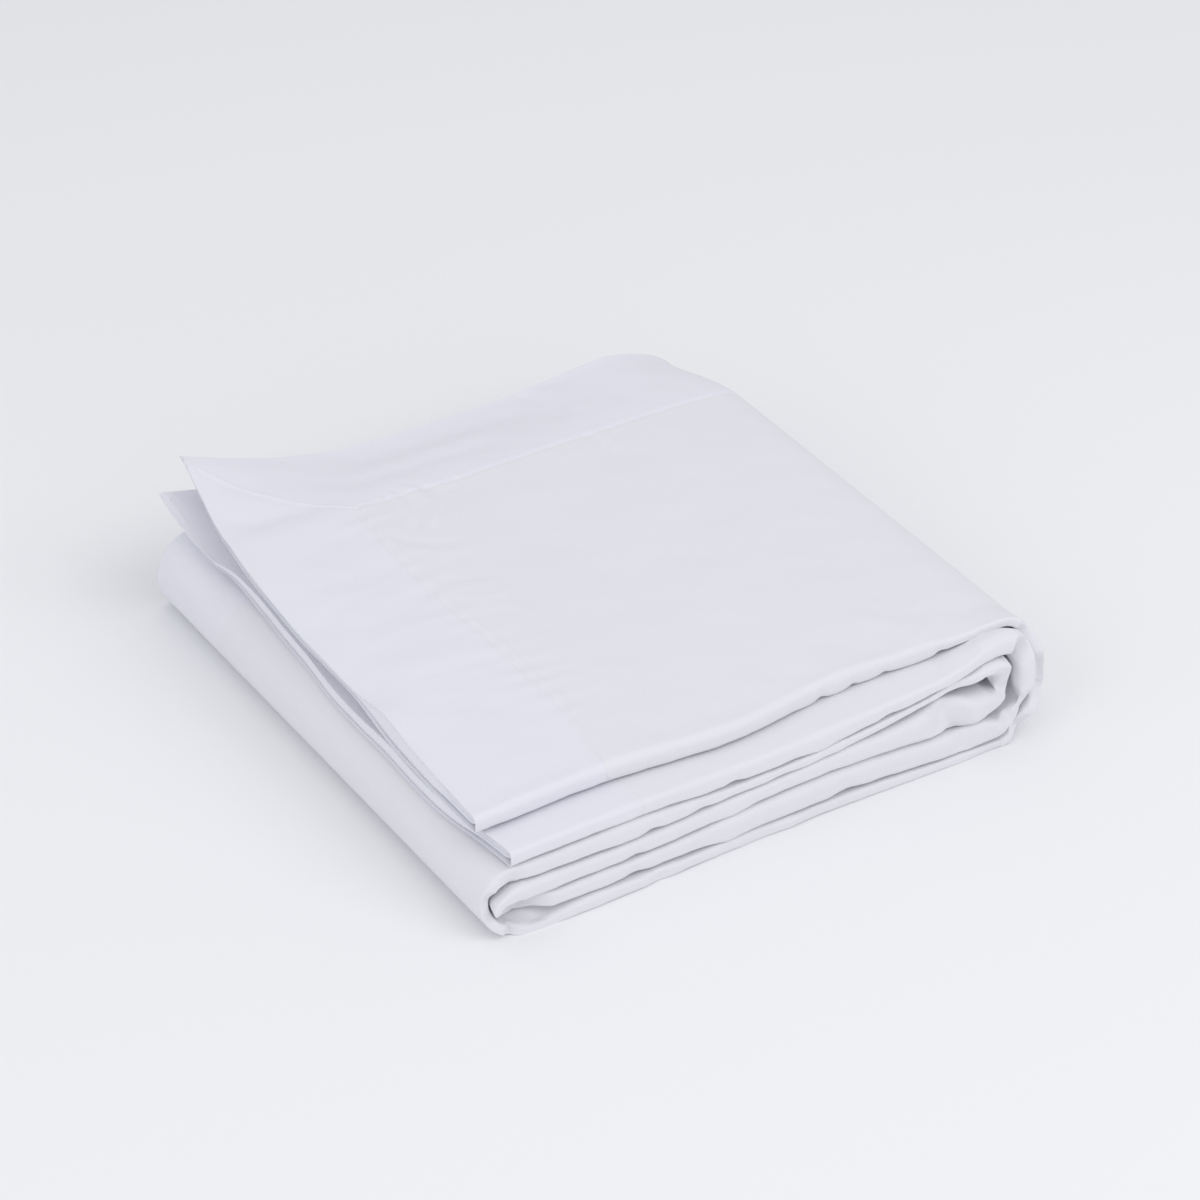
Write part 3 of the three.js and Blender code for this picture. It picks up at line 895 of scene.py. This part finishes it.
def cover_parts(material):
    """The cover panel in four parts, so that each is fine where it shows."""
    first = constant(FREE_END_X + END_WIDTH[1] - SEAM_ALLOWANCE)
    last = constant(FREE_END_X + END_WIDTH[2] - SEAM_ALLOWANCE)
    fine = columns(((1.0, 200),), FOLD_STEPS, ((0.10, 14), (1.0, 24)))
    medium = columns(((1.0, 120),), FOLD_STEPS, ((0.10, 14), (1.0, 24)))
    coarse = columns(((0.86, 26), (1.0, 26)), FOLD_STEPS, ((0.14, 26), (1.0, 26)))
    # Name, columns, the rows just before and just after the part, and its own rows
    table = (
        ("cover_top", fine, None, (2, 0.21),
         stations((0, 0, 1, 190), (1, 0, 1, 96), (2, 0, 0.2, 30))),
        ("cover_bottom", medium, (2, 0.19), (4, 0.31),
         stations((2, 0.2, 1, 150), (3, 0, 1, 80), (4, 0, 0.3, 60))),
        ("cover_middle", coarse, (4, 0.29), (6, 0.91),
         stations((4, 0.3, 1, 160), (5, 0, 1, 60), (6, 0, 0.9, 190))),
        ("cover_core", coarse, (6, 0.89), None,
         stations((6, 0.9, 1, 20), (7, 0, 1, 40), (8, 0, 1, 200), (9, 0, 1, 80), (10, 0, 1, 160))),
    )
    parts = []
    way = 0.0
    for name, cols, before, after, rows in table:
        ghosts = with_ghosts(rows, before, after)
        points, outward, tags = strip(ghosts, cols, first, last, seam_y, keep)
        points, normals = dressed(fix_ends(points), outward, tags)
        points, normals = points[1:-1], normals[1:-1]
        parts.append(open_sheet(name, points, normals, way, material))
        way += cloth_uv(points)[-1, 0, 0]
    return parts


def flat_strip(rows, depths, first_x, last_x, share=1.0):
    """Points of one ply of the strip near its back, with the way out of the cloth and tags of each.

    depths run from the back edge forward. share is 1 on the first ply, -1 on the second.
    """
    shape = (len(rows), len(depths))
    legs = np.array([leg for leg, _ in rows])
    shares = np.array([f for _, f in rows], float)
    points = np.zeros(shape + (3,))
    outward = np.zeros_like(points)
    tags = {"leg": np.broadcast_to(legs[:, None], shape), "f": np.broadcast_to(shares[:, None], shape),
            "share": np.full(shape, share), "front": np.zeros(shape)}
    for leg in sorted(set(legs)):
        m = legs == leg
        _, back = edges_at(leg, shares[m], first_x(0.0), last_x(0.0))
        y = back[:, None] - depths[None, :]
        x, z, nx, nz, half = middle(leg, shares[m][:, None] + np.zeros_like(y), y, first_x, last_x)
        points[m] = np.stack([x + nx * half * share, y, z + nz * half * share], -1)
        outward[m] = np.stack([nx, np.zeros_like(x), nz], -1)
    return points, outward, tags


BORDER_THICKNESS = 0.7
PLY_THICKNESS = 0.6
# Steps along each leg, of the side border and of the plies folded inside
SIDE_STEPS = (190, 60, 110, 60, 110, 24, 90, 20, 90, 50, 110)
INNER_STEPS = (120, 40, 90, 40, 90, 20, 80, 16, 80, 40, 90)


def whole_strip(steps):
    """Rows from the strip's first end to its last."""
    return stations(*((leg, 0, 1, count) for leg, count in enumerate(steps)))


def side_border(material):
    """The border strip along the whole cover, from mitre to mitre."""
    depths = np.linspace(0.0, SIDE_WIDTH, 41)
    rows = whole_strip(SIDE_STEPS)
    points, outward, tags = flat_strip(rows, depths, lambda y: mitre_x(1, y), lambda y: mitre_x(2, y))
    points, normals = dressed(points, outward, tags)
    return closed_sheet("side_border_cloth", points, normals, BORDER_THICKNESS, material)


def end_border(name, leg, material):
    """The border on a free end: round the front like the cover, with a mitre on its first ply."""
    _, number, facing = ROUTE[leg]
    seam_x = FREE_END_X + END_WIDTH[number]
    back = BACK_EDGE[number]
    cols = columns(((1.0, 180),), FOLD_STEPS, ((0.12, 16), (1.0, 60)))
    inward = np.linspace(0.0, 1.0, 71)[:, None]
    straight_x = mix(FREE_END_X, seam_x, inward)
    front = along(FRONT_EDGE[number], straight_x)
    first_back = mix(back - CORNER_WIDTH, back - SIDE_WIDTH, inward)
    fold = FOLD_DEPTH * pass_at(number, straight_x, front)[1]
    upper_power = upper_power_at(leg, np.zeros(1))[:, None]
    y, share = section(cols, front, fold, facing, upper_power, first_back, back)
    x = mix(free_end(number, y), seam_x, inward)
    z, half = pass_at(number, x, y)
    points = np.stack([x, y, z + facing * half * share], -1)
    zero = np.zeros_like(x)
    outward = np.stack([zero, zero, facing * share], -1)
    tags = {"leg": np.full(y.shape, leg), "f": np.zeros(y.shape), "share": share,
            "front": np.broadcast_to(front, y.shape)}
    points, normals = dressed(points, outward, tags)
    return closed_sheet(name, points, normals, BORDER_THICKNESS, material)


# The plies folded inside, at the strip's back: the share across the strip of each, how far the first
# lies inside the outer edges and the next one inside that, and how deep both reach
INNER_SHARES = (0.42, -0.38)
INNER_INSET = 4.0
INNER_GAP = 3.0
INNER_DEPTH = 70.0
# The waves of their back edges: height, pitch and shift from leg to leg, y behind which they are whole,
# and the way in front of it over which they fade out
WAVE_HEIGHT = 1.2
WAVE_PITCH = 26.0
WAVE_SHIFT = 40.0
WAVE_Y = 300.0
WAVE_FADE = 60.0


def inner_ply(number, share, material):
    """One of the plies folded inside the strip, where it shows at the back."""
    depths = INNER_INSET + INNER_GAP * number + np.linspace(0.0, INNER_DEPTH, 15)
    rows = whole_strip(INNER_STEPS)
    points, outward, tags = flat_strip(rows, depths, lambda y: free_end(1, y) + INNER_INSET,
                                       lambda y: free_end(2, y) + INNER_INSET, share)
    wave = WAVE_HEIGHT * ripple((points[..., 0] + WAVE_SHIFT * tags["leg"]) / WAVE_PITCH, 5 + number)
    points[..., 1] += wave * smooth(1.0 - (WAVE_Y - points[..., 1]) / WAVE_FADE)
    name = f"inner_ply_{number + 1}"
    return closed_sheet(name, points, normals_of(points, outward), PLY_THICKNESS, material)


# The plies folded inside a free end: lobes near the front, which is as far as they show singly, and a
# smooth wall behind. The insets are how far they lie inside the free end.
END_LOBES = 3
LOBES_REACH = 24.0
LOBE_ROUNDING = 0.6
LOBE_INSET = 1.6
LOBE_GROOVE = 2.2   # how much further in the cloth lies between two lobes
WALL_INSET = 0.5
WALL_ROUNDING = 1.2     # how much further in its upper and lower rim lie
LOBE_HEIGHT = 0.84  # of all lobes together, over the pass's thickness
WALL_HEIGHT = 0.90
END_FRONT_INSET = 2.5
END_BACK_INSET = 2.0
# The rims are turned in by this much where there are lobes and where there is a wall
RIM_TURNS = (8.0, 1.5)


def end_plies(name, leg, material):
    """The plies folded inside a free end: rounded edges one above the other, close together."""
    number = ROUTE[leg][1]
    front = along(FRONT_EDGE[number], FREE_END_X) + END_FRONT_INSET
    y = np.linspace(front, BACK_EDGE[number] - END_BACK_INSET, 180)[:, None]
    t = np.linspace(-1.0, 1.0, 49)[None, :]
    wall = smooth((y - front - LOBES_REACH) / LOBES_REACH)
    wander = 0.25 * ripple(y / 60.0, 3)
    lobe = np.abs(np.sin(END_LOBES * math.pi * (t + 1.0) / 2.0 + wander)) ** LOBE_ROUNDING
    inset = mix(LOBE_INSET + LOBE_GROOVE * (1.0 - lobe), WALL_INSET + WALL_ROUNDING * t * t, wall)
    inset = inset + 0.2 * ripple(y / 24.0 + t, 6)
    inset = inset + mix(*RIM_TURNS, wall) * smooth((np.abs(t) - 0.9) / 0.1)
    x = free_end(number, y) + inset
    z, half = pass_at(number, x, y + 0.0 * t)
    # The plies close towards the front fold
    closing = smooth((y - front + 3.0) / 9.0)
    points = np.stack([x, y + 0.0 * t, z + half * mix(LOBE_HEIGHT, WALL_HEIGHT, wall) * t * closing], -1)
    outward = np.broadcast_to([-1.0, 0.0, 0.0], points.shape)
    return closed_sheet(name, points, normals_of(points, outward), PLY_THICKNESS, material)


def inner_plies(material):
    """The plies folded inside the strip, where they show: at its back edges and its two free ends."""
    parts = [inner_ply(number, share, material) for number, share in enumerate(INNER_SHARES)]
    parts += [end_plies("upper_end_plies", 0, material), end_plies("lower_end_plies", LAST_LEG, material)]
    return parts


FLOOR_REACH = 6.0       # in metres, like all sizes of the lamps
FLOOR_COLOR = (0.886, 0.889, 0.897, 1.0)
SKY_COLOR = (0.95, 0.96, 1.0, 1.0)
SKY_STRENGTH = 0.715    # of the light from all round
LAMP_AIM = Vector((0.0, 0.0, 0.03))
# Soft lamps that look at the stack: name, place, width, watts and colour
LAMPS = (
    ("key", (0.9, -1.5, 1.9), 1.6, 13.2, (1.0, 0.99, 0.975)),
    ("left", (-2.2, -0.6, 1.4), 2.0, 11.2, (0.975, 0.985, 1.0)),
    ("top", (0.0, 0.4, 2.8), 2.5, 4.8, (1.0, 1.0, 1.0)),
    ("front", (-0.4, -2.6, 1.2), 2.0, 4.4, (1.0, 1.0, 1.0)),
)
# The camera's target in the stack, and the camera's place as seen from there
CAMERA_TARGET = np.array([176.7, 183.5, 47.4])
CAMERA_AZIMUTH = math.radians(-32.2)
CAMERA_ELEVATION = math.radians(33.3)
CAMERA_DISTANCE = 2251.2


def add_floor():
    """The pale ground that the stack lies on."""
    r = FLOOR_REACH
    data = bpy.data.meshes.new("floor")
    data.from_pydata([(-r, -r, 0), (r, -r, 0), (r, r, 0), (-r, r, 0)], [], [(0, 1, 2, 3)])
    material = bpy.data.materials.new("floor_paint")
    material.use_nodes = True
    bsdf = material.node_tree.nodes["Principled BSDF"]
    bsdf.inputs["Base Color"].default_value = FLOOR_COLOR
    bsdf.inputs["Roughness"].default_value = 1.0
    bsdf.inputs["Specular IOR Level"].default_value = 0.0
    data.materials.append(material)
    floor = bpy.data.objects.new("floor", data)
    bpy.context.scene.collection.objects.link(floor)


def add_light():
    """Bright surroundings and soft lamps."""
    world = bpy.data.worlds.new("studio")
    bpy.context.scene.world = world
    world.use_nodes = True
    background = world.node_tree.nodes["Background"]
    background.inputs["Color"].default_value = SKY_COLOR
    background.inputs["Strength"].default_value = SKY_STRENGTH
    for name, place, width, power, color in LAMPS:
        lamp = bpy.data.lights.new(name, "AREA")
        lamp.shape = "SQUARE"
        lamp.size = width
        lamp.energy = power
        lamp.color = color
        obj = bpy.data.objects.new(name, lamp)
        obj.location = place
        obj.rotation_euler = (LAMP_AIM - Vector(place)).to_track_quat("-Z", "Y").to_euler()
        bpy.context.scene.collection.objects.link(obj)


def add_camera():
    """The camera, in the photograph's view."""
    data = bpy.data.cameras.new("camera")
    data.lens = 120.0
    data.sensor_width = 36.0
    data.clip_end = 50.0
    level = math.cos(CAMERA_ELEVATION)
    back = np.array([math.sin(CAMERA_AZIMUTH) * level, -math.cos(CAMERA_AZIMUTH) * level,
                     math.sin(CAMERA_ELEVATION)])
    camera = bpy.data.objects.new("camera", data)
    camera.location = (CAMERA_TARGET + back * CAMERA_DISTANCE - ORIGIN) * MM
    camera.rotation_euler = Vector(-back).to_track_quat("-Z", "Y").to_euler()
    bpy.context.scene.collection.objects.link(camera)
    bpy.context.scene.camera = camera


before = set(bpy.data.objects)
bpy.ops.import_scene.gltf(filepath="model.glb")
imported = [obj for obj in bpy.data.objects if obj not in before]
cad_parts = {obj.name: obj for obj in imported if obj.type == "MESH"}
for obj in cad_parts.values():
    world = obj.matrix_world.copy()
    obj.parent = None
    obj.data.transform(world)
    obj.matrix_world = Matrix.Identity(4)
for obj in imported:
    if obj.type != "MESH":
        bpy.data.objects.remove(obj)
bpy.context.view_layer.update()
panel_cotton = cotton("panel_cotton", (0.785, 0.783, 0.817), roughness=0.85, sheen=0.12, weave=0.35)
border_cotton = cotton("border_cotton", (0.784, 0.784, 0.837), roughness=0.75, sheen=0.15, weave=0.30)
panel = cover_parts(panel_cotton)
side = side_border(border_cotton)
upper = end_border("upper_end_cloth", 0, border_cotton)
lower = end_border("lower_end_cloth", LAST_LEG, border_cotton)
plies = inner_plies(border_cotton)
for piece in panel:
    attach(piece, "root")
for piece in [side, upper, lower] + plies:
    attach(piece, "root")
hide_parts("cover_panel")
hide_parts("side_border")
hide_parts("upper_end_border")
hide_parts("lower_end_border")
add_floor()
add_light()
add_camera()
bpy.context.scene.view_settings.view_transform = "Standard"
bpy.context.view_layer.update()
